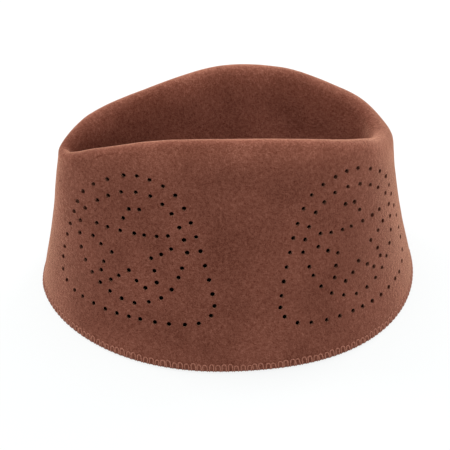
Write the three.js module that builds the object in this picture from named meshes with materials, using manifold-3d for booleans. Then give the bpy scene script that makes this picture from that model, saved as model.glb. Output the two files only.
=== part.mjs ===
// A blocked wool felt hat: one pierced felt shell with a soft ridge all round its top and a long
// hollow pressed into the crown. The wearer's front is at -X, the back at +X.
// Millimetres, +Z up, with the origin at the middle of the oval that the hat rests on.
import * as THREE from "three";
import { mergeVertices } from "three/addons/utils/BufferGeometryUtils.js";
import Module from "manifold-3d";

const wasm = await Module();
wasm.setup();

// Base oval, measured outside the felt
const baseLength = 210;
const baseWidth = 180;
const feltThickness = 2.2;

// Ridge round the top of the crown, as seen from above
const ridgeLength = 172;
const ridgeWidth = 75;
const ridgeShiftToFront = -2.6;
const ridgeShiftToSide = -3.2;
const ridgeRadius = { front: 4, side: 5, back: 7 };

// Crown heights over the base
const crownHeight = 114;
const hollowDepth = 45;

// Wall between base and ridge: its outward swell, and its lean inwards where it meets the ridge
const swell = { front: 10.2, side: 9.9, back: 8.9 };
const leanAtEnds = THREE.MathUtils.degToRad(3);
const leanAtSides = THREE.MathUtils.degToRad(13.2);

// Slope of the hollow just inside the ridge, measured from the vertical
const hollowSlope = THREE.MathUtils.degToRad(14);

// Punched holes, and the room that a motif takes on the wall
const holeDiameter = 2.5;
const motifFromCentre = 16.5;
const motifLength = 89;

// The motif's lowest and highest holes, as shares of the wall from hem to ridge
const motifFoot = 0.18;
const motifTop = 0.91;

// How far the two copies of the motif part from mirror images, as shares of the motif's room: the
// back one hangs lower next to the middle, and both lean towards the back
const motifShift = 0.015;
const motifSkew = 0.05;

// Plan shapes: exponents of the ovals at front and back, lengthwise and crosswise (2 is an
// ellipse), and how much fuller the front is
const baseOval = { front: [2.2, 1.75], back: [2.27, 1.82] };
const ridgeOval = { front: [2.18, 2.18], back: [2.18, 2.18] };
const baseFullness = -0.05;
const ridgeFullness = -0.436;

// How far the hollow reaches towards the ridge's ends, and how it rises towards them
const hollowReach = { front: 0.89, back: 0.795 };
const hollowRise = 0.55;

// Height of the ridge along the crown, as shares of the crown's height. The place runs from the
// front end (-1) to the back end (1).
const ridgeHeights = [
  // place, on the -Y side, on the +Y side
  [-1.0, 0.805, 0.805],
  [-0.8, 0.88, 0.89],
  [-0.45, 0.967, 0.938],
  [0.0, 1.0, 0.982],
  [0.45, 0.981, 0.922],
  [0.8, 0.898, 0.822],
  [1.0, 0.787, 0.787],
];

// The punched motif is a leaf with a curled tip, here as the loops of holes that bound it. Each row
// is a corner of the smooth loop, as shares of the motif's length and height from the lower corner
// next to the hat's middle, and the number of holes from there to the next corner.
const outerLoop = [
  [0.02, 0.08, 1], [0.0, 0.14, 2], [0.03, 0.3, 2], [0.08, 0.48, 2], [0.14, 0.66, 2],
  [0.24, 0.84, 2], [0.41, 0.95, 2], [0.59, 1.0, 2], [0.81, 0.95, 1], [0.89, 0.89, 1],
  [0.93, 0.8, 3], [0.99, 0.48, 2], [1.0, 0.26, 1], [0.985, 0.15, 1], [0.94, 0.08, 1],
  [0.87, 0.04, 3], [0.65, 0.01, 3], [0.43, 0.01, 2], [0.26, 0.01, 2], [0.09, 0.03, 1],
];
const innerLoop = [
  [0.16, 0.47, 2], [0.21, 0.63, 1], [0.26, 0.72, 2], [0.4, 0.84, 2], [0.6, 0.88, 2],
  [0.77, 0.82, 1], [0.86, 0.75, 1], [0.89, 0.64, 2], [0.86, 0.42, 2], [0.76, 0.25, 2],
  [0.63, 0.15, 2], [0.47, 0.11, 2], [0.31, 0.17, 1], [0.25, 0.23, 1], [0.21, 0.31, 1],
  [0.19, 0.37, 1],
];

// Fineness of the facets
const facets = { around: 56, wall: 8, ridge: 4, hollow: 5, hole: 6 };

const up = new THREE.Vector3(0, 0, 1);
const mix = THREE.MathUtils.lerp;

// A point of an oval whose exponents change from front to back, on the unit circle's angle
function ovalPoint(angle, { front, back }) {
  const c = Math.cos(angle);
  const s = Math.sin(angle);
  const lengthwise = mix(front[0], back[0], (1 + c) / 2);
  const crosswise = mix(front[1], back[1], (1 + c) / 2);
  return [
    Math.sign(c) * Math.abs(c) ** (2 / lengthwise),
    Math.sign(s) * Math.abs(s) ** (2 / crosswise),
  ];
}

// A size that changes smoothly from the hat's front over its sides to its back
function roundTheHat({ front, side, back }, angle) {
  const c = Math.cos(angle);
  return mix(side, c < 0 ? front : back, c * c);
}

// A smooth curve of values over places, without a kink at the places between
function smoothTable(places, values) {
  const last = places.length - 1;
  const slopeAt = (i) => {
    const before = Math.max(i - 1, 0);
    const after = Math.min(i + 1, last);
    return (values[after] - values[before]) / (places[after] - places[before]);
  };
  return (place) => {
    let i = 0;
    while (i < last - 1 && place > places[i + 1]) i += 1;
    const span = places[i + 1] - places[i];
    const t = (place - places[i]) / span;
    const rise = hermiteWeights(t);
    return rise.start * values[i] + rise.end * values[i + 1]
      + span * (rise.leave * slopeAt(i) + rise.arrive * slopeAt(i + 1));
  };
}

function hermiteWeights(t) {
  return {
    start: (1 + 2 * t) * (1 - t) ** 2,
    leave: t * (1 - t) ** 2,
    end: t * t * (3 - 2 * t),
    arrive: t * t * (t - 1),
  };
}

function hermiteSlopes(t) {
  return {
    start: 6 * t * (t - 1),
    leave: (1 - t) * (1 - 3 * t),
    end: 6 * t * (1 - t),
    arrive: t * (3 * t - 2),
  };
}

function blend(weights, from, leaving, to, arriving) {
  return new THREE.Vector3()
    .addScaledVector(from, weights.start)
    .addScaledVector(leaving, weights.leave)
    .addScaledVector(to, weights.end)
    .addScaledVector(arriving, weights.arrive);
}

// A curve between two points with a direction of travel at each, as [point, direction of travel]
function travel(from, leaving, to, arriving, t) {
  const point = blend(hermiteWeights(t), from, leaving, to, arriving);
  const heading = blend(hermiteSlopes(t), from, leaving, to, arriving).normalize();
  return [point, heading];
}

const places = ridgeHeights.map((row) => row[0]);
const heightAtMinusY = smoothTable(places, ridgeHeights.map((row) => row[1] * crownHeight));
const heightAtPlusY = smoothTable(places, ridgeHeights.map((row) => row[2] * crownHeight));

// Height of the hollow's floor along the crown, and its slope there
function floorHeight(along) {
  const ridgeMean = (heightAtMinusY(along) + heightAtPlusY(along)) / 2;
  return ridgeMean - hollowDepth * (1 - hollowRise * along * along);
}

// Length of the hollow's floor from the ridge's middle to a place along the crown
function floorLength(along) {
  return (ridgeLength / 2) * along * mix(hollowReach.front, hollowReach.back, (1 + along) / 2);
}

function floorSlope(along) {
  const step = 0.01;
  const rise = floorHeight(along + step) - floorHeight(along - step);
  return rise / (floorLength(along + step) - floorLength(along - step));
}

// One section of the hat, from the hem up the wall, over the ridge and down into the hollow
function section(angle) {
  const [baseX, baseY] = ovalPoint(angle, baseOval);
  const [along, across] = ovalPoint(angle, ridgeOval);
  const side = Math.abs(Math.sin(angle));
  const middle = 1 - along * along;

  const hem = new THREE.Vector3(
    (baseLength / 2) * baseX,
    (baseWidth / 2) * baseY * (1 - baseFullness * baseX),
    0,
  );
  const shift = ridgeShiftToSide * middle;
  const height = across < 0 ? heightAtMinusY(along) : heightAtPlusY(along);
  const crest = new THREE.Vector3(
    ridgeShiftToFront + (ridgeLength / 2) * along,
    shift + (ridgeWidth / 2) * across * (1 - ridgeFullness * along),
    height,
  );
  const floor = new THREE.Vector3(
    ridgeShiftToFront + floorLength(along),
    shift,
    floorHeight(along),
  );
  const slope = floorSlope(along);

  const inward = floor.clone().sub(crest).setZ(0).normalize();
  const loop = up.clone().cross(inward);
  const lean = mix(leanAtEnds, leanAtSides, side);
  const radius = roundTheHat(ridgeRadius, angle);
  const centre = crest.clone().addScaledVector(up, -radius);
  const onRidge = (turn) => centre.clone()
    .addScaledVector(inward, Math.sin(turn) * radius)
    .addScaledVector(up, Math.cos(turn) * radius);
  const headingOnRidge = (turn) => inward.clone().multiplyScalar(Math.cos(turn))
    .addScaledVector(up, -Math.sin(turn));

  const ridgeStart = lean - Math.PI / 2;
  const ridgeEnd = Math.PI / 2 - hollowSlope;
  const wallEnd = onRidge(ridgeStart);
  const hollowStart = onRidge(ridgeEnd);
  const wallChord = wallEnd.clone().sub(hem);
  const wallLeaving = wallChord.clone().addScaledVector(inward, roundTheHat(swell, angle));
  const wallArriving = headingOnRidge(ridgeStart).multiplyScalar(wallChord.length());
  const hollowChord = hollowStart.distanceTo(floor);
  const hollowLeaving = headingOnRidge(ridgeEnd).multiplyScalar(hollowChord);
  const hollowArriving = inward.clone().addScaledVector(up, slope * inward.x)
    .multiplyScalar(hollowChord);

  return {
    loop,
    floorNormal: new THREE.Vector3(-slope, 0, 1).normalize(),
    onWall: (t) => travel(hem, wallLeaving, wallEnd, wallArriving, t),
    onRidge: (t) => {
      const turn = mix(ridgeStart, ridgeEnd, t);
      return [onRidge(turn), headingOnRidge(turn)];
    },
    inHollow: (t) => travel(hollowStart, hollowLeaving, floor, hollowArriving, t),
  };
}

// The outward direction of the felt where a section travels along a heading
function outward(sectionAt, heading) {
  return heading.clone().cross(sectionAt.loop).normalize();
}

// The felt's outer and inner points along one section, from the hem to the hollow's floor
function feltRow(angle) {
  const here = section(angle);
  const steps = [];
  for (let i = 0; i <= facets.wall; i += 1) steps.push(here.onWall(i / facets.wall));
  for (let i = 1; i <= facets.ridge; i += 1) steps.push(here.onRidge(i / facets.ridge));
  for (let i = 1; i <= facets.hollow; i += 1) steps.push(here.inHollow(i / facets.hollow));
  const outer = steps.map(([point]) => point);
  const inner = steps.map(([point, heading]) => (
    point.clone().addScaledVector(outward(here, heading), -feltThickness)
  ));
  inner[0].z = 0;
  const floor = outer[outer.length - 1];
  inner[inner.length - 1] = floor.clone().addScaledVector(here.floorNormal, -feltThickness);
  return { outer, inner };
}

// The closed skin of the unpierced felt: outside, inside and the flat edge at the hem
function feltShell() {
  const rows = [];
  for (let i = 0; i < facets.around; i += 1) {
    rows.push(feltRow((2 * Math.PI * i) / facets.around));
  }
  const positions = [];
  const triangle = (a, b, c) => positions.push(...a.toArray(), ...b.toArray(), ...c.toArray());
  const quad = (a, b, c, d) => {
    triangle(a, b, c);
    triangle(a, c, d);
  };
  const floorStep = facets.wall + facets.ridge + facets.hollow;
  rows.forEach((row, i) => {
    const next = rows[(i + 1) % facets.around];
    for (let step = 0; step < floorStep; step += 1) {
      quad(row.outer[step], next.outer[step], next.outer[step + 1], row.outer[step + 1]);
      quad(row.inner[step], row.inner[step + 1], next.inner[step + 1], next.inner[step]);
    }
    quad(row.outer[0], row.inner[0], next.inner[0], next.outer[0]);
  });
  const geometry = new THREE.BufferGeometry();
  geometry.setAttribute("position", new THREE.Float32BufferAttribute(positions, 3));
  return geometry;
}

// The -Y side of the wall at half its height, as angles with the length walked to each
function walkTheSide() {
  const steps = 720;
  const walk = [];
  let length = 0;
  for (let i = 0; i <= steps; i += 1) {
    const angle = -Math.PI * (1 - i / steps);
    const [point] = section(angle).onWall(0.5);
    if (i > 0) length += point.distanceTo(walk[i - 1].point);
    walk.push({ angle, point, length });
  }
  const middle = walk[steps / 2].length;
  return walk.map((step) => ({ angle: step.angle, length: step.length - middle }));
}

const sideWalk = walkTheSide();

// The angle of the section at a length along the -Y side, from the side's middle
function angleAtLength(length) {
  const after = sideWalk.findIndex((step) => step.length >= length);
  const [a, b] = [sideWalk[after - 1], sideWalk[after]];
  return mix(a.angle, b.angle, (length - a.length) / (b.length - a.length));
}

// Where a hole of the motif sits on the wall, and the direction that it is punched in
function holePlace(along, rise, hand) {
  const length = along + hand * (motifSkew * rise - motifShift);
  const height = rise + hand * (motifSkew * rise * along - motifShift);
  const here = section(angleAtLength(hand * (motifFromCentre + length * motifLength)));
  const [point, heading] = here.onWall(mix(motifFoot, motifTop, height));
  return { point, direction: outward(here, heading) };
}

// Places for the holes of one loop, evenly spaced from each corner to the next
function loopPlaces(loop, hand) {
  const corners = loop.map(([along, rise]) => new THREE.Vector3(along, rise, 0));
  const curve = new THREE.CatmullRomCurve3(corners, true, "catmullrom");
  return loop.flatMap(([, , holes], corner) => Array.from({ length: holes }, (_, hole) => {
    const { x, y } = curve.getPoint((corner + hole / holes) / loop.length);
    return holePlace(x, y, hand);
  }));
}

// A punch that goes right through the felt
function punch({ point, direction }) {
  const radius = holeDiameter / 2;
  const length = 4 * feltThickness;
  const geometry = new THREE.CylinderGeometry(radius, radius, length, facets.hole);
  const turn = new THREE.Quaternion().setFromUnitVectors(new THREE.Vector3(0, 1, 0), direction);
  const place = new THREE.Matrix4().compose(point, turn, new THREE.Vector3(1, 1, 1));
  return geometry.applyMatrix4(place);
}

function toSolid(geometry) {
  const bare = geometry.clone();
  bare.deleteAttribute("normal");
  bare.deleteAttribute("uv");
  const merged = mergeVertices(bare, 1e-4);
  const index = merged.index.array;
  const corners = [];
  for (let i = 0; i < index.length; i += 3) {
    const [a, b, c] = [index[i], index[i + 1], index[i + 2]];
    if (a !== b && b !== c && c !== a) corners.push(a, b, c);
  }
  return new wasm.Manifold(new wasm.Mesh({
    numProp: 3,
    vertProperties: new Float32Array(merged.attributes.position.array),
    triVerts: new Uint32Array(corners),
  }));
}

function toGeometry(solid) {
  const { vertProperties, triVerts } = solid.getMesh();
  const geometry = new THREE.BufferGeometry();
  geometry.setAttribute("position", new THREE.BufferAttribute(vertProperties, 3));
  geometry.setIndex(new THREE.BufferAttribute(triVerts, 1));
  geometry.computeVertexNormals();
  return geometry;
}

// The felt cap with the two mirrored motifs punched through its -Y side
function feltCap() {
  let cap = toSolid(feltShell());
  for (const hand of [-1, 1]) {
    for (const loop of [outerLoop, innerLoop]) {
      for (const place of loopPlaces(loop, hand)) cap = cap.subtract(toSolid(punch(place)));
    }
  }
  return toGeometry(cap);
}

const felt = new THREE.MeshStandardMaterial({ color: 0x72463a, roughness: 0.95, metalness: 0 });

const hat = new THREE.Group();
const cap = new THREE.Mesh(feltCap(), felt);
cap.name = "felt_cap";
hat.add(cap);

export default hat;
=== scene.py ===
import math
import random

import bmesh
import bpy
import numpy as np
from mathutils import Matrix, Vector, noise


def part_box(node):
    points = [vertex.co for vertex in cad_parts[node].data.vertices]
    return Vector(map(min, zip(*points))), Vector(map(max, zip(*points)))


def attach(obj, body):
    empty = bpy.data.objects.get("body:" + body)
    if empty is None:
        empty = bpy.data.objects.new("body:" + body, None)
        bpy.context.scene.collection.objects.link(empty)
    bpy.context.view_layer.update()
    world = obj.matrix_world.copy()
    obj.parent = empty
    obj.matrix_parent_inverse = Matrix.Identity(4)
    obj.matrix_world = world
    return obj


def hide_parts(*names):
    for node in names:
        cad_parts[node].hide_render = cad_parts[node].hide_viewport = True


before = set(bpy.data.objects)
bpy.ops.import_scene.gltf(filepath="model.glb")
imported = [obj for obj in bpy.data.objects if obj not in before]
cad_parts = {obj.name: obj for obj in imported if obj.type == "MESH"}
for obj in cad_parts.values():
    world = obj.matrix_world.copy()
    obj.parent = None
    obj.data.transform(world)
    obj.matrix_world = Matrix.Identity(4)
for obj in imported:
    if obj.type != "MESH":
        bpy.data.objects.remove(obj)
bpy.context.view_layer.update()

# A blocked wool felt hat in metres: a pierced felt shell with an overlocked hem. The wearer's front
# is at -X and the photographed side at -Y.
CAP_LOW, CAP_HIGH = (np.array(corner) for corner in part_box("felt_cap"))
BASE_LENGTH, BASE_WIDTH, CROWN_HEIGHT = CAP_HIGH - CAP_LOW
MM = 0.001
UP = np.array([0.0, 0.0, 1.0])

# The block's shape, as the solid has it
FELT_THICKNESS = 2.2 * MM
RIDGE_LENGTH = 172 * MM
RIDGE_WIDTH = 75 * MM
RIDGE_SHIFT_TO_FRONT = -2.6 * MM
RIDGE_SHIFT_TO_SIDE = -3.2 * MM
HOLLOW_DEPTH = 45 * MM
LEAN_AT_ENDS = math.radians(3)
LEAN_AT_SIDES = math.radians(13.2)
HOLLOW_SLOPE = math.radians(14)
BASE_FULLNESS = -0.05
RIDGE_FULLNESS = -0.436
HOLLOW_RISE = 0.55

# Sizes at the front, at the sides and at the back
RIDGE_RADIUS = np.array([4, 5, 7]) * MM
SWELL = np.array([10.2, 9.9, 8.9]) * MM

# Values at the front and at the back: the ovals' exponents lengthwise and crosswise, and the
# hollow's reach towards the ridge's ends
BASE_EXPONENTS = ((2.2, 2.27), (1.75, 1.82))
RIDGE_EXPONENTS = ((2.18, 2.18), (2.18, 2.18))
HOLLOW_REACH = (0.89, 0.795)

# Ridge heights as shares of the crown's height: place along the crown, -Y side, +Y side
RIDGE_HEIGHTS = np.array([
    [-1.0, 0.805, 0.805],
    [-0.8, 0.88, 0.89],
    [-0.45, 0.967, 0.938],
    [0.0, 1.0, 0.982],
    [0.45, 0.981, 0.922],
    [0.8, 0.898, 0.822],
    [1.0, 0.787, 0.787],
])
MINUS_Y, PLUS_Y = 1, 2

# Step along the crown that the slope of the hollow's floor is measured over
SLOPE_STEP = 0.01


def unit(vectors):
    return vectors / np.linalg.norm(vectors, axis=-1, keepdims=True)


def column(values):
    return np.asarray(values)[..., None]


def walk(points):
    """Length walked along a line of points, or along each of several lines, up to each point."""
    steps = np.diff(points, axis=0, prepend=points[:1])
    return np.cumsum(np.linalg.norm(steps, axis=-1), axis=0)


def front_to_back(values, place):
    """A value that changes evenly from the front (place -1) to the back (place 1)."""
    return values[0] + (values[1] - values[0]) * (1 + place) / 2


def round_the_hat(sizes, angle):
    """A size that changes smoothly from the front over the sides to the back."""
    c = np.cos(angle)
    front, side, back = sizes
    return column(side + (np.where(c < 0, front, back) - side) * c * c)


def oval(angle, exponents):
    """A point of an oval whose exponents change from front to back."""
    c, s = np.cos(angle), np.sin(angle)
    lengthwise, crosswise = (front_to_back(pair, c) for pair in exponents)
    return np.sign(c) * np.abs(c) ** (2 / lengthwise), np.sign(s) * np.abs(s) ** (2 / crosswise)


def hermite_point(start, leaving, end, arriving, t):
    """A point of the smooth curve between two places with a direction of travel at each."""
    return ((1 + 2 * t) * (1 - t) ** 2 * start + t * (1 - t) ** 2 * leaving
            + t * t * (3 - 2 * t) * end + t * t * (t - 1) * arriving)


def hermite(start, leaving, end, arriving, t):
    """A point of the smooth curve, and the curve's own direction there."""
    heading = (6 * t * (t - 1) * start + (1 - t) * (1 - 3 * t) * leaving
               + 6 * t * (1 - t) * end + t * (3 * t - 2) * arriving)
    return hermite_point(start, leaving, end, arriving, t), unit(heading)


def ridge_height(along, side):
    """Height of the ridge along the crown, at one side of the hat."""
    places, heights = RIDGE_HEIGHTS[:, 0], RIDGE_HEIGHTS[:, side] * CROWN_HEIGHT
    last = len(places) - 1
    before = np.maximum(np.arange(last + 1) - 1, 0)
    after = np.minimum(np.arange(last + 1) + 1, last)
    slopes = (heights[after] - heights[before]) / (places[after] - places[before])
    i = np.clip(np.searchsorted(places, along, side="left") - 1, 0, last - 1)
    span = places[i + 1] - places[i]
    t = (along - places[i]) / span
    return hermite_point(heights[i], span * slopes[i], heights[i + 1], span * slopes[i + 1], t)


def floor_height(along):
    """Height of the hollow's floor along the crown."""
    mean = (ridge_height(along, MINUS_Y) + ridge_height(along, PLUS_Y)) / 2
    return mean - HOLLOW_DEPTH * (1 - HOLLOW_RISE * along ** 2)


def floor_length(along):
    """Length of the hollow's floor from the ridge's middle to a place along the crown."""
    return RIDGE_LENGTH / 2 * along * front_to_back(HOLLOW_REACH, along)


class Sections:
    """The hat's sections at the given angles, each from the hem up and over into the hollow."""

    def __init__(self, angle):
        self.angle = angle = np.atleast_1d(angle)
        base_x, base_y = oval(angle, BASE_EXPONENTS)
        along, across = oval(angle, RIDGE_EXPONENTS)
        side = column(np.abs(np.sin(angle)))
        shift = RIDGE_SHIFT_TO_SIDE * (1 - along ** 2)
        height = np.where(across < 0, ridge_height(along, MINUS_Y), ridge_height(along, PLUS_Y))
        slope = ((floor_height(along + SLOPE_STEP) - floor_height(along - SLOPE_STEP))
                 / (floor_length(along + SLOPE_STEP) - floor_length(along - SLOPE_STEP)))

        self.hem = np.stack([BASE_LENGTH / 2 * base_x,
                             BASE_WIDTH / 2 * base_y * (1 - BASE_FULLNESS * base_x),
                             0 * base_x], -1)
        crest = np.stack([RIDGE_SHIFT_TO_FRONT + RIDGE_LENGTH / 2 * along,
                          shift + RIDGE_WIDTH / 2 * across * (1 - RIDGE_FULLNESS * along),
                          height], -1)
        self.floor = np.stack([RIDGE_SHIFT_TO_FRONT + floor_length(along), shift,
                               floor_height(along)], -1)
        self.inward = unit((self.floor - crest) * [1, 1, 0])
        self.loop = np.cross(UP, self.inward)
        self.floor_normal = unit(np.stack([-slope, 0 * slope, 1 + 0 * slope], -1))

        self.start_turn = LEAN_AT_ENDS + (LEAN_AT_SIDES - LEAN_AT_ENDS) * side - math.pi / 2
        self.end_turn = math.pi / 2 - HOLLOW_SLOPE
        self.radius = round_the_hat(RIDGE_RADIUS, angle)
        self.centre = crest - UP * self.radius
        self.wall_end, wall_heading = self.ridge(0.0)
        self.hollow_start, hollow_heading = self.ridge(1.0)
        chord = self.wall_end - self.hem
        self.wall_leaving = chord + self.inward * round_the_hat(SWELL, angle)
        self.wall_arriving = wall_heading * np.linalg.norm(chord, axis=-1, keepdims=True)
        chord = np.linalg.norm(self.floor - self.hollow_start, axis=-1, keepdims=True)
        self.hollow_leaving = hollow_heading * chord
        self.hollow_arriving = (self.inward + UP * column(slope) * self.inward[:, :1]) * chord

    def wall(self, t):
        return hermite(self.hem, self.wall_leaving, self.wall_end, self.wall_arriving, t)

    def ridge(self, t):
        turn = self.start_turn + (self.end_turn - self.start_turn) * t
        point = self.centre + (self.inward * np.sin(turn) + UP * np.cos(turn)) * self.radius
        return point, self.inward * np.cos(turn) - UP * np.sin(turn)

    def hollow(self, t):
        return hermite(self.hollow_start, self.hollow_leaving, self.floor, self.hollow_arriving, t)

    def outward(self, heading):
        return unit(np.cross(heading, self.loop))


def new_object(name, points, faces, material):
    mesh = bpy.data.meshes.new(name)
    mesh.from_pydata([tuple(p) for p in points], [], [tuple(f) for f in faces])
    mesh.materials.append(material)
    mesh.validate()
    mesh.shade_smooth()
    piece = bpy.data.objects.new(name, mesh)
    bpy.context.scene.collection.objects.link(piece)
    return piece


# Fineness of the felt's mesh: steps round the hat, and steps up the wall, over the ridge and into
# the hollow
AROUND = 420
OUTER_ROWS = (80, 12, 30)
INNER_ROWS = (26, 6, 14)


def sections_around():
    return Sections(2 * math.pi * np.arange(AROUND) / AROUND)


def felt_rows(sections, rows, first):
    """Points and outward directions of the smooth outside, from a share of the wall upwards."""
    wall, ridge, hollow = rows
    steps = [sections.wall(first + (1 - first) * i / wall) for i in range(wall + 1)]
    steps += [sections.ridge(i / ridge) for i in range(1, ridge + 1)]
    steps += [sections.hollow(i / hollow) for i in range(1, hollow + 1)]
    points = np.stack([point for point, _ in steps])
    outward = np.stack([sections.outward(heading) for _, heading in steps])
    outward[-1] = sections.floor_normal
    return points, outward


# The thread that overlocks the hem: its width and depth, and how its two plies swell and turn
THREAD_WIDTH = 0.64 * MM
THREAD_DEPTH = 0.45 * MM
PLY_SWELL = 0.14
PLY_TURN = 4.4 * MM

# The felt's edge: a rounded square that stands on the thread under it, spread a little outwards
# and drawn in where the stitches hold it
EDGE_RADIUS = FELT_THICKNESS / 2
EDGE_EXPONENT = 3
EDGE_LIFT = THREAD_DEPTH / 2 * (1 + PLY_SWELL)
EDGE_STEPS = 8
HEM_SPREAD = np.array([-0.6, 1.4, -0.5]) * MM
CORNER_SPREAD = 1.3 * MM
SPREAD_HEIGHT = 12 * MM
PINCH_DEPTH = 0.3 * MM
PINCH_HEIGHT = 3.5 * MM


def edge_share(sections, depth):
    """How far up the wall the edge's round ends at a depth in the felt, as a share of the wall."""
    _, heading = sections.wall(0.0)
    rise = depth * sections.outward(heading)[:, 2:]
    return (EDGE_LIFT + EDGE_RADIUS + rise) / sections.wall_end[:, 2:]


def squared(value):
    """A sine or cosine bent so that it walks round the edge's rounded square."""
    return np.sign(value) * np.abs(value) ** (2 / EDGE_EXPONENT)


def hem_share(climb):
    """How much of what is done to the hem is felt at a height above the edge's round."""
    return np.exp(-(climb / SPREAD_HEIGHT) ** 2)


def spread(sections, climb):
    """How far the hem spreads outwards at a height above the edge's round."""
    corner = CORNER_SPREAD * column(np.sin(2 * sections.angle) ** 2)
    return (round_the_hat(HEM_SPREAD, sections.angle) + corner) * hem_share(climb)


def pinch(climb):
    """How far the stitches draw the felt in at a height above the edge's round."""
    return PINCH_DEPTH * np.exp(-(climb / PINCH_HEIGHT) ** 2)


def hem_faces(sections, climb):
    """The felt's outside and inside at a height above the edge's round, and the way outwards."""
    wall_length = np.linalg.norm(sections.wall_end - sections.hem, axis=-1, keepdims=True)
    faces = []
    for depth in (0, FELT_THICKNESS):
        point, heading = sections.wall(edge_share(sections, depth) + climb / wall_length)
        outward = sections.outward(heading)
        faces.append(point - outward * depth - sections.inward * spread(sections, climb))
    outside, inside = faces
    return outside + sections.inward * pinch(climb), inside, outward


def edge_point(outside, inside, turn):
    """A point of the edge's round: turn 90 degrees is at the outside and -90 at the inside."""
    middle = (outside + inside) / 2
    spoke = (outside - inside) / 2
    return middle + spoke * squared(np.sin(turn)) - UP * EDGE_RADIUS * squared(np.cos(turn))


# The soft rise and fall that a hand-blocked felt keeps: breadth and height of its waves
UNEVENNESS = [(34 * MM, 0.45 * MM), (9 * MM, 0.1 * MM)]

# Soft dents that shaping by hand left in the crown: place, reach and depth, in millimetres
SOFT_DENTS = [
    ((86, 12, 86), 17, 1.9),
    ((-91.5, 3, 89), 14, 1.2),
]


def uneven(point):
    """How far the felt stands out at a point of its smooth outside."""
    return sum(height * noise.noise(Vector(point) / breadth) for breadth, height in UNEVENNESS)


def dented(points):
    """How far the soft dents push the felt in at each point."""
    depths = [depth * MM * np.exp(-(np.linalg.norm(points / MM - place, axis=-1) / reach) ** 2)
              for place, reach, depth in SOFT_DENTS]
    return column(sum(depths))


# Painted light: the felt is painted paler along the ridge's top, a painted highlight, and darker
# deep in the hollow, painted shade
RIDGE_HIGHLIGHT_REACH = 9 * MM
RIDGE_HIGHLIGHT_FADE = 1.3
RIDGE_HIGHLIGHT_AT_ENDS = 0.35
HOLLOW_SHADE_DEPTH = 16 * MM
HOLLOW_SHADE_STRENGTH = 0.25


def ridge_highlight_and_hollow_shade(outer, angle):
    """Painted light at each point of the outside: 1 is the painted highlight on the ridge's top,
    and below 0 is painted shade deep in the hollow.
    """
    wall, ridge, _ = OUTER_ROWS
    walked = walk(outer)
    down_the_wall = np.maximum(walked[wall] - walked, 0)
    into_the_hollow = np.maximum(walked - walked[wall + ridge], 0)
    away = np.maximum(down_the_wall, into_the_hollow)
    hollow_shaded = HOLLOW_SHADE_STRENGTH * np.clip(into_the_hollow / HOLLOW_SHADE_DEPTH, 0, 1)
    most = 1 - (1 - RIDGE_HIGHLIGHT_AT_ENDS) * np.cos(angle) ** 2
    return most * np.exp(-(away / RIDGE_HIGHLIGHT_REACH) ** RIDGE_HIGHLIGHT_FADE) - hollow_shaded


def felt_outside(sections):
    """The outside's rows of points from the edge's round upwards, and the painted light at each
    point.
    """
    points, outward = felt_rows(sections, OUTER_ROWS, edge_share(sections, 0))
    climb = points[..., 2:] - points[0, :, 2:]
    rise = np.array([uneven(point) for point in points.reshape(-1, 3)])
    rise = rise.reshape(*points.shape[:2], 1) * (1 - hem_share(climb))
    painted_light = ridge_highlight_and_hollow_shade(points, sections.angle)
    points = points + outward * (rise - dented(points))
    return points - sections.inward * (spread(sections, climb) - pinch(climb)), painted_light


def felt_inside(sections):
    """The inside's rows of points from the edge's round upwards."""
    points, outward = felt_rows(sections, INNER_ROWS, edge_share(sections, FELT_THICKNESS))
    points = points - outward * (FELT_THICKNESS + dented(points))
    return points - sections.inward * spread(sections, points[..., 2:] - points[0, :, 2:])


def point_numbers(rows):
    """Numbers of the points, row by row. Both sides share the points of the hollow's floor."""
    numbers = np.arange(rows * AROUND).reshape(rows, AROUND)
    mirrored = (-np.arange(AROUND)) % AROUND
    beyond = np.arange(AROUND) > AROUND // 2
    for floor_row in (0, -1):
        numbers[floor_row, beyond] = numbers[floor_row, mirrored[beyond]]
    return numbers


def row_faces(numbers):
    """Faces between rows of numbered points, with three corners where two of four are the same."""
    faces = []
    for row, above in zip(numbers[:-1], numbers[1:]):
        for k in range(AROUND):
            after = (k + 1) % AROUND
            corners = [row[k], above[k], above[after], row[after]]
            faces.append(list(dict.fromkeys(int(corner) for corner in corners)))
    return [face for face in faces if len(face) > 2]


def felt_shell(material):
    """The whole felt wall with its thickness, from the round edge to the hollow's floor."""
    sections = sections_around()
    outer, painted_light = felt_outside(sections)
    inner = felt_inside(sections)
    turns = [math.pi * (0.5 - i / EDGE_STEPS) for i in range(1, EDGE_STEPS)]
    edge = np.stack([edge_point(outer[0], inner[0], turn) for turn in turns])
    rows = np.concatenate([outer[::-1], edge, inner])
    numbers = point_numbers(len(rows))
    used, renumbered = np.unique(numbers, return_inverse=True)
    faces = row_faces(renumbered.reshape(numbers.shape))
    felt = new_object("felt_body", rows.reshape(-1, 3)[used], faces, material)
    # The painted highlight and shade of the outside go on the mesh for the material; the other rows
    # get none
    hidden = np.zeros((len(rows) - len(painted_light), AROUND))
    values = np.concatenate([painted_light[::-1], hidden]).ravel()[used]
    felt.data.attributes.new("painted_light", "FLOAT", "POINT").data.foreach_set("value", values)
    return felt


# The punched leaf motif's room on the wall
MOTIF_FROM_CENTRE = 16.5 * MM
MOTIF_LENGTH = 89 * MM
MOTIF_FOOT = 0.18
MOTIF_TOP = 0.91

# How far the two copies of the motif part from mirror images, as shares of the motif's room
MOTIF_SHIFT = 0.015
MOTIF_SKEW = 0.05

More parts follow.
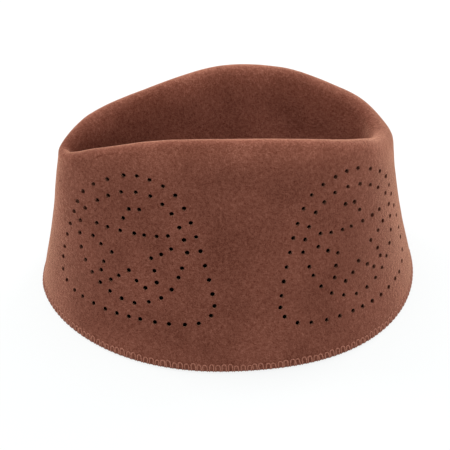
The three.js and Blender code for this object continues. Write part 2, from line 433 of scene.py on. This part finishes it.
# The loops of holes that bound the leaf: corners of a smooth loop as shares of the motif's length
# and height, each with the number of holes from there to the next corner
LOOPS = [
    [(0.02, 0.08, 1), (0.0, 0.14, 2), (0.03, 0.3, 2), (0.08, 0.48, 2), (0.14, 0.66, 2),
     (0.24, 0.84, 2), (0.41, 0.95, 2), (0.59, 1.0, 2), (0.81, 0.95, 1), (0.89, 0.89, 1),
     (0.93, 0.8, 3), (0.99, 0.48, 2), (1.0, 0.26, 1), (0.985, 0.15, 1), (0.94, 0.08, 1),
     (0.87, 0.04, 3), (0.65, 0.01, 3), (0.43, 0.01, 2), (0.26, 0.01, 2), (0.09, 0.03, 1)],
    [(0.16, 0.47, 2), (0.21, 0.63, 1), (0.26, 0.72, 2), (0.4, 0.84, 2), (0.6, 0.88, 2),
     (0.77, 0.82, 1), (0.86, 0.75, 1), (0.89, 0.64, 2), (0.86, 0.42, 2), (0.76, 0.25, 2),
     (0.63, 0.15, 2), (0.47, 0.11, 2), (0.31, 0.17, 1), (0.25, 0.23, 1), (0.21, 0.31, 1),
     (0.19, 0.37, 1)],
]

# The small scrolls inside the leaf, with a hole at each place
SCROLLS = [
    [(0.47, 0.75), (0.54, 0.755), (0.575, 0.69), (0.59, 0.6)],
    [(0.28, 0.575), (0.35, 0.57), (0.43, 0.575), (0.495, 0.585)],
    [(0.68, 0.62), (0.76, 0.64), (0.78, 0.535), (0.717, 0.483), (0.637, 0.436),
     (0.687, 0.355), (0.7, 0.287)],
    [(0.258, 0.49), (0.318, 0.452), (0.38, 0.423), (0.357, 0.342), (0.34, 0.266)],
    [(0.408, 0.222), (0.465, 0.262), (0.517, 0.326)],
    [(0.58, 0.277), (0.63, 0.235)],
]

# The punch: its size, how uneven its holes come out, its sides and its reach to each side
HOLE_DIAMETER = 2.5 * MM
HOLE_SIZES = (0.93, 1.05)
PUNCH_SIDES = 12
PUNCH_REACH = 2 * FELT_THICKNESS

# Steps along one side of the wall that lengths are measured with
SIDE_STEPS = 1440

# After the punching, narrower faces than this are slivers, and sharper folds are hole edges
SLIVER_WIDTH = 0.01 * MM
FOLD_ANGLE = math.radians(50)


class WallPlaces:
    """Angles of the sections by length along one side of the wall, from the side's middle."""

    def __init__(self, side):
        middle = side * math.pi / 2
        self.angles = middle + np.linspace(-math.pi / 2, math.pi / 2, SIDE_STEPS + 1)
        points, _ = Sections(self.angles).wall(0.5)
        lengths = walk(points)
        self.lengths = lengths - np.interp(middle, self.angles, lengths)

    def angle(self, length):
        return np.interp(length, self.lengths, self.angles)


def loop_spots(loop):
    """Spots of the holes on a smooth loop, evenly spaced from each corner to the next."""
    corners = np.array([corner[:2] for corner in loop])
    before, after, beyond = (np.roll(corners, shift, axis=0) for shift in (1, -1, -2))
    leaving, arriving = (after - before) / 2, (beyond - corners) / 2
    spots = [hermite_point(corners[i], leaving[i], after[i], arriving[i], hole / holes)
             for i, (_, _, holes) in enumerate(loop) for hole in range(holes)]
    return np.array(spots)


def holes_at(spots, side, hand):
    """Centres of a motif's holes on the wall, with the directions out of and along the wall."""
    along, rise = spots.T
    back = -side * hand
    length = along + back * (MOTIF_SKEW * rise - MOTIF_SHIFT)
    height = rise + back * (MOTIF_SKEW * rise * along - MOTIF_SHIFT)
    angle = WallPlaces(side).angle(hand * (MOTIF_FROM_CENTRE + length * MOTIF_LENGTH))
    sections = Sections(angle)
    share = MOTIF_FOOT + (MOTIF_TOP - MOTIF_FOOT) * height
    centres, heading = sections.wall(column(share))
    return centres, sections.outward(heading), sections.loop


def punch_points(centre, axis, across):
    """Points of one punch through the felt: the ring inside the hat, then the ring outside."""
    radius = HOLE_DIAMETER / 2 * random.uniform(*HOLE_SIZES)
    turns = column(2 * math.pi * np.arange(PUNCH_SIDES) / PUNCH_SIDES)
    ring = radius * (across * np.cos(turns) + np.cross(axis, across) * np.sin(turns))
    return [*(centre + ring - PUNCH_REACH * axis), *(centre + ring + PUNCH_REACH * axis)]


def punch_faces(start):
    """Faces of one punch whose points begin at a number."""
    inside = [start + k for k in range(PUNCH_SIDES)]
    outside = [corner + PUNCH_SIDES for corner in inside]
    faces = [inside[::-1], outside]
    for k in range(PUNCH_SIDES):
        after = (k + 1) % PUNCH_SIDES
        faces.append([inside[k], inside[after], outside[after], outside[k]])
    return faces


def punch_cutter(material):
    """One mesh of all the punches, two mirrored motifs on each side of the hat."""
    random.seed(11)
    spots = np.concatenate([loop_spots(loop) for loop in LOOPS] + SCROLLS)
    points, faces = [], []
    for side in (-1, 1):
        for hand in (-1, 1):
            for centre, axis, across in zip(*holes_at(spots, side, hand)):
                faces += punch_faces(len(points))
                points += punch_points(centre, axis, across)
    return new_object("punches", points, faces, material)


def remove_slivers(mesh):
    """Split the many-sided faces round the holes evenly, and take out the slivers among them."""
    shell = bmesh.new()
    shell.from_mesh(mesh)
    bmesh.ops.triangulate(shell, faces=[face for face in shell.faces if len(face.verts) > 4])
    bmesh.ops.dissolve_degenerate(shell, dist=SLIVER_WIDTH, edges=shell.edges)
    shell.to_mesh(mesh)
    shell.free()


def punched_felt(material):
    """The felt shell with every hole of the motifs cut through it."""
    felt = felt_shell(material)
    cutter = punch_cutter(material)
    cut = felt.modifiers.new("punch", "BOOLEAN")
    cut.operation = "DIFFERENCE"
    cut.solver = "MANIFOLD"
    cut.object = cutter
    graph = bpy.context.evaluated_depsgraph_get()
    mesh = bpy.data.meshes.new_from_object(felt.evaluated_get(graph))
    felt.modifiers.clear()
    felt.data = mesh
    remove_slivers(mesh)
    mesh.shade_smooth()
    mesh.set_sharp_from_angle(angle=FOLD_ANGLE)
    bpy.data.objects.remove(cutter)
    return felt


# The overlock stitches: arches of the thread, and how far it stands proud of the felt
STITCH_PITCH = 3.3 * MM
STITCH_HEIGHT = 4.3 * MM
ARCH_RADIUS = 1.15 * MM
ARCH_STEPS = 8
THREAD_PROUD = 0.15 * MM
THREAD_SIDES = 8

# How uneven the stitches are: places in shares of the pitch, heights and leans in millimetres, and
# arches in shares of their radius
STITCH_PLACES = (-0.07, 0.07)
STITCH_HEIGHTS = (-0.5, 0.4)
STITCH_LEANS = (-0.35, 0.35)
STITCH_ARCHES = (0.9, 1.06)

# A stitch's straight legs: points round the edge as shares of its quarter round, and points up the
# felt as shares of the leg's height
LEG_ON_EDGE = (0.0, 0.3, 0.5, 0.7, 1.0)
LEG_ON_FELT = (0.35, 0.7)
EDGE_QUARTER = math.pi / 2 * EDGE_RADIUS

# A stitch arches over the outside (1) and then over the inside (-1), this share of a pitch later
STITCH_FACES = ((1, 0), (-1, 0.5))

# Steps round the hem that lengths are measured with
HEM_STEPS = 2880


def stitch_arch():
    """One stitch up the felt and down again: shifts along the hem, and lengths round the edge."""
    straight = STITCH_HEIGHT - EDGE_LIFT - EDGE_RADIUS - ARCH_RADIUS
    height = straight + random.uniform(*STITCH_HEIGHTS) * MM
    lean = random.uniform(*STITCH_LEANS) * MM
    arch = ARCH_RADIUS * random.uniform(*STITCH_ARCHES)
    leg = [(0.0, EDGE_QUARTER * share) for share in LEG_ON_EDGE]
    leg += [(lean * share, EDGE_QUARTER + height * share) for share in LEG_ON_FELT]
    path = [(shift - arch, rise) for shift, rise in leg]
    path += [(lean - arch * math.cos(turn), EDGE_QUARTER + height + arch * math.sin(turn))
             for turn in np.linspace(0, math.pi, ARCH_STEPS + 1)]
    path += [(shift + arch, rise) for shift, rise in reversed(leg)]
    return path


def stitch_line(hem_length):
    """The thread's lengths along the hem, and round its edge: above 0 outside, below 0 inside."""
    count = round(hem_length / STITCH_PITCH)
    pitch = hem_length / count
    along, around = [], []
    for stitch in range(count):
        for face, later in STITCH_FACES:
            middle = pitch * (stitch + later + random.uniform(*STITCH_PLACES))
            path = stitch_arch()
            along += [middle + shift for shift, _ in path]
            around += [face * rise for _, rise in path]
    return np.array(along), np.array(around)


def thread_tube(path, away):
    """A closed two-ply thread along a path, laid flat against what lies opposite away."""
    forward = unit(np.roll(path, -1, axis=0) - np.roll(path, 1, axis=0))
    beside = unit(np.cross(forward, away))
    proud = np.cross(beside, forward)
    walked = walk(np.concatenate([path, path[:1]]))[1:]
    twist = walked / PLY_TURN * 2 * math.pi
    rings = []
    for k in range(THREAD_SIDES):
        turn = 2 * math.pi * k / THREAD_SIDES
        ply = 1 + PLY_SWELL * np.cos(2 * (turn - twist))
        across = beside * THREAD_WIDTH / 2 * math.cos(turn)
        outwards = proud * THREAD_DEPTH / 2 * math.sin(turn)
        rings.append(path + (across + outwards) * column(ply))
    points = np.stack(rings, 1).reshape(-1, 3)
    faces = []
    for i in range(len(path)):
        here = i * THREAD_SIDES
        after = (i + 1) % len(path) * THREAD_SIDES
        for k in range(THREAD_SIDES):
            beyond = (k + 1) % THREAD_SIDES
            faces.append([here + k, after + k, after + beyond, here + beyond])
    return points, faces


def stitch_thread(material):
    """One thread that arches over the felt's edge, outside and inside, all the way round."""
    random.seed(23)
    angles = np.linspace(0, 2 * math.pi, HEM_STEPS + 1)
    walked = walk(Sections(angles).hem)
    along, around = stitch_line(walked[-1])
    sections = Sections(np.interp(along % walked[-1], walked, angles))
    climb = column(np.maximum(np.abs(around) - EDGE_QUARTER, 0))
    outside, inside, outward = hem_faces(sections, climb)
    turn = column(np.clip(around / EDGE_RADIUS, -math.pi / 2, math.pi / 2))
    away = outward * np.sin(turn) - UP * np.cos(turn)
    path = edge_point(outside, inside, turn) + away * THREAD_PROUD * np.sin(turn) ** 2
    return new_object("hem_stitches", *thread_tube(path, away), material)


# Fibres of the nap: how the long drawn noise is turned, and how far it is drawn
FIBRE_TURNS = [(0.3, 0.2, 0.0), (1.2, 0.4, 0.9), (0.7, 1.3, 2.0), (2.0, 0.9, 0.4)]
FIBRE_STRETCH = 7


class Nodes:
    """A material's node tree with short calls to add and join nodes."""

    def __init__(self, name):
        self.material = bpy.data.materials.new(name)
        self.material.use_nodes = True
        self.tree = self.material.node_tree
        self.shader = self.tree.nodes["Principled BSDF"]

    def feed(self, socket, value):
        """Link another node's output to a socket, or give the socket a plain value."""
        if hasattr(value, "is_output"):
            self.tree.links.new(value, socket)
        else:
            socket.default_value = value

    def add(self, kind, settings=(), **inputs):
        node = self.tree.nodes.new(kind)
        for name, value in dict(settings).items():
            setattr(node, name, value)
        for name, value in inputs.items():
            self.feed(node.inputs[name.replace("_", " ")], value)
        return node

    def noise(self, place, size, detail=2.0, roughness=0.5, distortion=0.0):
        """Noise whose features are about the given size."""
        node = self.add("ShaderNodeTexNoise", Scale=1 / size, Detail=detail, Roughness=roughness,
                        Distortion=distortion, Vector=place)
        return node.outputs["Fac"]

    def fibres(self, place, width):
        """Short fibres that lie every way: drawn noise turned several ways, the palest on top."""
        strands = None
        for turn in FIBRE_TURNS:
            turned = self.add("ShaderNodeMapping", Vector=place, Rotation=turn)
            drawn = self.add("ShaderNodeMapping", Vector=turned.outputs["Vector"],
                             Scale=(1, 1, 1 / FIBRE_STRETCH))
            strand = self.noise(drawn.outputs["Vector"], width, detail=1, distortion=0.4)
            strands = strand if strands is None else self.larger(strands, strand)
        return strands

    def larger(self, first, second):
        node = self.add("ShaderNodeMath", {"operation": "MAXIMUM"})
        self.feed(node.inputs[0], first)
        self.feed(node.inputs[1], second)
        return node.outputs["Value"]

    def height(self, place):
        return self.add("ShaderNodeSeparateXYZ", Vector=place).outputs["Z"]

    def ramp(self, value, low, high):
        """The value stretched so that low gives 0 and high gives 1."""
        node = self.add("ShaderNodeMapRange", Value=value, From_Min=low, From_Max=high)
        return node.outputs["Result"]

    def mix(self, share, first, second, blend="MIX"):
        node = self.add("ShaderNodeMix", {"data_type": "RGBA", "blend_type": blend})
        for name, value in (("Factor_Float", share), ("A_Color", first), ("B_Color", second)):
            self.feed(next(s for s in node.inputs if s.identifier == name), value)
        return next(s for s in node.outputs if s.identifier == "Result_Color")

    def tint(self, colour, shares):
        """The colour times a share for each of red, green and blue."""
        return self.mix(1.0, colour, (*shares, 1), "MULTIPLY")

    def between_tints(self, share, colour, tints):
        """The colour times the first tint where the share is 0, and the second where it is 1."""
        return self.mix(share, self.tint(colour, tints[0]), self.tint(colour, tints[1]))

    def set_shader(self, **inputs):
        for name, value in inputs.items():
            self.feed(self.shader.inputs[name.replace("_", " ")], value)


# What is seen in the felt: clouds of the dye, mottle of fibre ends, and fibres. A narrow range of
# the noise makes a strong contrast.
CLOUD_SIZE = 26 * MM
CLOUD_RANGE = (0.32, 0.68)
MOTTLE_SIZE = 1.7 * MM
MOTTLE_RANGE = (0.3, 0.7)
FIBRE_WIDTH = 0.34 * MM
FIBRE_RANGE = (0.47, 0.73)

# The felt's dye, deepest and palest, what its surface does to it, and the painted highlight on the
# ridge and painted shade in the hollow, as shares of the colour
FELT_DYES = ((0.142, 0.0435, 0.0265, 1), (0.190, 0.063, 0.040, 1))
MOTTLE_TINTS = ((0.80, 0.70, 0.66), (1.20, 1.30, 1.34))
FIBRE_TINTS = ((0.61, 0.45, 0.37), (1.40, 1.57, 1.66))
RIDGE_HIGHLIGHT_TINT = (1.45, 1.52, 1.52)
HOLLOW_SHADE_TINT = (0.55, 0.50, 0.50)

# Painted shade along the bottom of the felt and the thread, up to this height above what the hat
# stands on
EDGE_SHADE_TOP = 2.2 * MM
FELT_EDGE_SHADE_TINT = (0.72, 0.66, 0.66)
THREAD_EDGE_SHADE_TINT = (0.6, 0.52, 0.5)

# The thread's two colours, and its fibres
THREAD_COLOURS = ((0.23, 0.078, 0.047, 1), (0.42, 0.175, 0.118, 1))
THREAD_FIBRE = 0.5 * MM
THREAD_RANGE = (0.3, 0.7)

# Heights of the bumps that the nap, its fibres and the thread's fibres make
NAP_BUMP = 0.35 * MM
FIBRE_BUMP = 0.14 * MM
THREAD_BUMP = 0.08 * MM


def felt_material():
    """Rust brown wool felt: cloudy dye, a fine mottle of fibre ends and a soft sheen, with a
    painted highlight on the ridge and painted shade in the hollow and along the hem's bottom.
    """
    felt = Nodes("wool_felt")
    place = felt.add("ShaderNodeTexCoord").outputs["Object"]
    cloud = felt.ramp(felt.noise(place, CLOUD_SIZE, detail=3), *CLOUD_RANGE)
    mottle = felt.ramp(felt.noise(place, MOTTLE_SIZE, detail=3, roughness=0.65), *MOTTLE_RANGE)
    fibre = felt.ramp(felt.fibres(place, FIBRE_WIDTH), *FIBRE_RANGE)
    dye = felt.mix(cloud, *FELT_DYES)
    dye = felt.between_tints(mottle, dye, MOTTLE_TINTS)
    dye = felt.between_tints(fibre, dye, FIBRE_TINTS)
    # Painted highlight on the ridge's top and painted shade deep in the hollow
    painted_light = felt.add("ShaderNodeAttribute", {"attribute_name": "painted_light"}).outputs["Fac"]
    hollow_shaded = felt.mix(felt.ramp(painted_light, 0, -1), dye, felt.tint(dye, HOLLOW_SHADE_TINT))
    dye = felt.mix(felt.ramp(painted_light, 0, 1), hollow_shaded, felt.tint(dye, RIDGE_HIGHLIGHT_TINT))
    # Painted shade along the bottom of the hem
    edge = felt.ramp(felt.height(place), EDGE_SHADE_TOP, 0)
    dye = felt.mix(edge, dye, felt.tint(dye, FELT_EDGE_SHADE_TINT))
    nap = felt.add("ShaderNodeBump", Strength=0.55, Distance=NAP_BUMP, Height=mottle)
    fine = felt.add("ShaderNodeBump", Strength=0.6, Distance=FIBRE_BUMP, Height=fibre,
                    Normal=nap.outputs["Normal"])
    felt.set_shader(Base_Color=dye, Roughness=0.95, Specular_IOR_Level=0.15, Sheen_Weight=1.0,
                    Sheen_Roughness=0.32, Sheen_Tint=(0.95, 0.50, 0.33, 1),
                    Normal=fine.outputs["Normal"])
    return felt.material


def thread_material():
    """Matte wool-like thread, a little lighter and more orange than the felt."""
    thread = Nodes("hem_thread")
    place = thread.add("ShaderNodeTexCoord").outputs["Object"]
    fibre = thread.ramp(thread.noise(place, THREAD_FIBRE, detail=2), *THREAD_RANGE)
    colour = thread.mix(fibre, *THREAD_COLOURS)
    # Painted shade along the bottom of the hem
    edge = thread.ramp(thread.height(place), EDGE_SHADE_TOP, 0)
    colour = thread.mix(edge, colour, thread.tint(colour, THREAD_EDGE_SHADE_TINT))
    bump = thread.add("ShaderNodeBump", Strength=0.5, Distance=THREAD_BUMP, Height=fibre)
    thread.set_shader(Base_Color=colour, Roughness=0.75, Specular_IOR_Level=0.25,
                      Sheen_Weight=0.3, Sheen_Roughness=0.4, Sheen_Tint=(0.9, 0.6, 0.45, 1),
                      Normal=bump.outputs["Normal"])
    return thread.material


def floor_material():
    """A white table lit from within, so that the shadows on it stay faint."""
    floor = Nodes("studio_floor")
    floor.set_shader(Base_Color=(0.17, 0.17, 0.17, 1), Roughness=0.9, Specular_IOR_Level=0.1,
                     Emission_Color=(0.98, 1.0, 1.0, 1), Emission_Strength=0.8)
    return floor.material


def shade_material():
    """Dark sheet of painted shade, without a shine."""
    shade = Nodes("studio_shade")
    shade.set_shader(Base_Color=(0.02, 0.015, 0.012, 1), Roughness=0.9, Specular_IOR_Level=0.0)
    return shade.material


# The table's reach to each side, and the height of the dark sheet of painted shade on it
TABLE_REACH = 4.0
SHADE_SHEET_HEIGHT = 0.1 * MM


def studio_floor():
    """The table, and a dark sheet of painted shade on it inside the hem, so that the holes look
    dark.
    """
    points = TABLE_REACH * np.array([(-1, -1, 0), (1, -1, 0), (1, 1, 0), (-1, 1, 0)])
    new_object("studio_floor", points, [(0, 1, 2, 3)], floor_material())
    outside, inside, _ = hem_faces(sections_around(), 0.0)
    shade_sheet = (outside + inside) / 2 * [1, 1, 0] + UP * SHADE_SHEET_HEIGHT
    new_object("studio_shade", shade_sheet, [range(AROUND)], shade_material())


# Lamps: name, place, size and power, and the spot in the hat that they shine at
LAMPS = [
    ("back_left", (-1.4, 1.1, 0.9), 1.2, 25),
    ("back_right", (1.4, 1.1, 0.9), 1.2, 22),
    ("right", (1.9, 0.1, 0.7), 1.4, 9),
    ("key", (-0.35, 0.95, 1.85), 1.7, 5),
]
LAMP_TARGET = Vector((0, 0, 0.05))

# The surrounding's brightness on the hat. The camera sees it white.
SURROUND_STRENGTH = 0.85
WHITE = (1, 1, 1, 1)


def studio_lights():
    """Round lamps behind at both sides, at the right and above."""
    for name, place, size, power in LAMPS:
        light = bpy.data.lights.new(name, "AREA")
        light.shape = "DISK"
        light.size = size
        light.energy = power
        lamp = bpy.data.objects.new(name, light)
        lamp.location = place
        lamp.rotation_euler = (LAMP_TARGET - Vector(place)).to_track_quat("-Z", "Y").to_euler()
        bpy.context.scene.collection.objects.link(lamp)


def studio_surround():
    """A white surrounding that lights the hat less brightly than the camera sees it."""
    world = bpy.data.worlds.new("studio")
    world.use_nodes = True
    tree = world.node_tree
    surround = tree.nodes["Background"]
    surround.inputs["Color"].default_value = WHITE
    surround.inputs["Strength"].default_value = SURROUND_STRENGTH
    shown = tree.nodes.new("ShaderNodeBackground")
    shown.inputs["Color"].default_value = WHITE
    path = tree.nodes.new("ShaderNodeLightPath")
    choice = tree.nodes.new("ShaderNodeMixShader")
    tree.links.new(path.outputs["Is Camera Ray"], choice.inputs["Fac"])
    tree.links.new(surround.outputs["Background"], choice.inputs[1])
    tree.links.new(shown.outputs["Background"], choice.inputs[2])
    tree.links.new(choice.outputs["Shader"], tree.nodes["World Output"].inputs["Surface"])
    bpy.context.scene.world = world
    bpy.context.scene.view_settings.view_transform = "Standard"


# The photograph's camera: its turn and height round the hat, its distance and field
PHOTO_TURN = math.radians(-9.1)
PHOTO_RISE = math.radians(36)
PHOTO_DISTANCE = 1.2
PHOTO_TARGET = Vector((-1.63 * MM, 0.26 * MM, 30.66 * MM))
SENSOR_WIDTH = 36
PHOTO_LENS = 173.4


def photo_camera():
    data = bpy.data.cameras.new("photo_camera")
    data.sensor_width = SENSOR_WIDTH
    data.lens = PHOTO_LENS
    camera = bpy.data.objects.new("photo_camera", data)
    away = Vector((math.sin(PHOTO_TURN) * math.cos(PHOTO_RISE),
                   -math.cos(PHOTO_TURN) * math.cos(PHOTO_RISE), math.sin(PHOTO_RISE)))
    camera.location = PHOTO_TARGET + away * PHOTO_DISTANCE
    camera.rotation_euler = away.to_track_quat("Z", "Y").to_euler()
    bpy.context.scene.collection.objects.link(camera)
    bpy.context.scene.camera = camera


def main():
    photo_camera()
    studio_lights()
    studio_surround()
    studio_floor()
    felt = punched_felt(felt_material())
    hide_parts("felt_cap")
    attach(felt, "root")
    stitches = stitch_thread(thread_material())
    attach(stitches, "root")


main()
